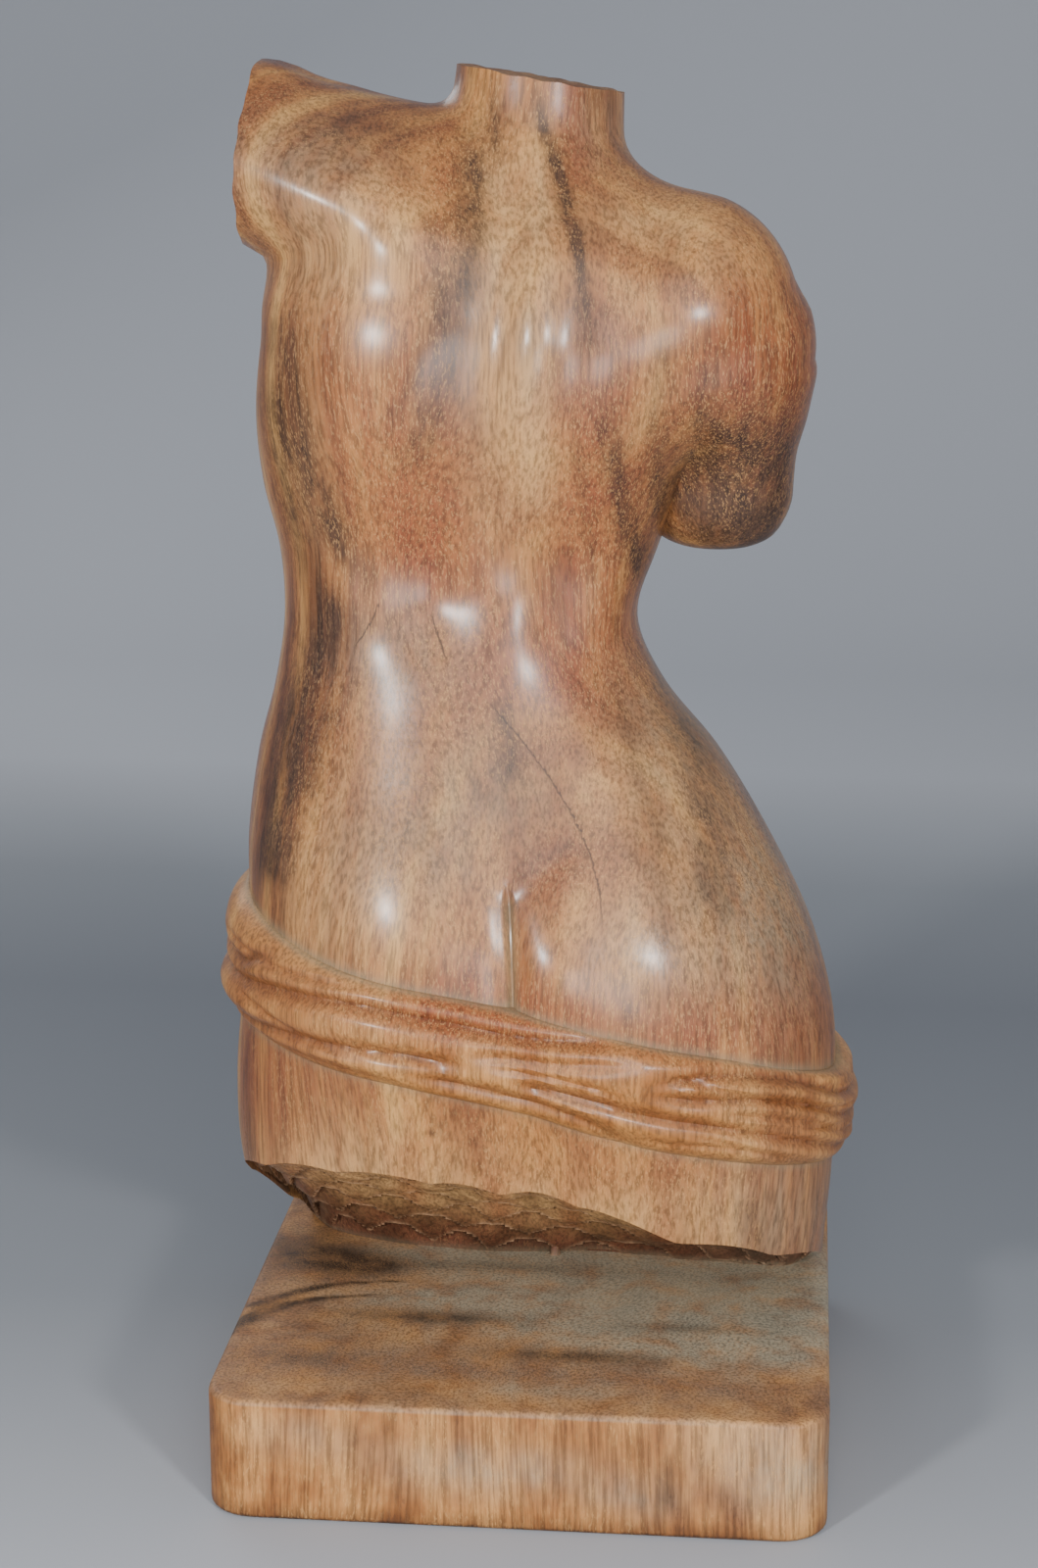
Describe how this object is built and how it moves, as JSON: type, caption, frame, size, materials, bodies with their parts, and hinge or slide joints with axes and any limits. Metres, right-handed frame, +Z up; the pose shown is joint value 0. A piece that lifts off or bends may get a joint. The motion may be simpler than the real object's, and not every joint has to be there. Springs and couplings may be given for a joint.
{
  "type": "female torso sculpture",
  "caption": "Standing nude female torso in carved hardwood, cut at the neck and arms, with a twisted cloth round the hips, hewn below into its own square block plinth.",
  "frame": {"origin": "centre of the plinth's underside, on the floor", "axes": "+Z up along the figure; -Y the figure's back, the side with the open undercut; +Y her front; +X her right side, where the arm hangs"},
  "size_m": [0.3826, 0.35, 0.7985],
  "materials": {
    "hardwood": "oiled and polished tropical hardwood, golden to red-brown with dark streaks; hewn undercut and plinth top left matte and dusty"
  },
  "bodies": {
    "root": {"torso_and_plinth": "hardwood"}
  },
  "joints": []
}
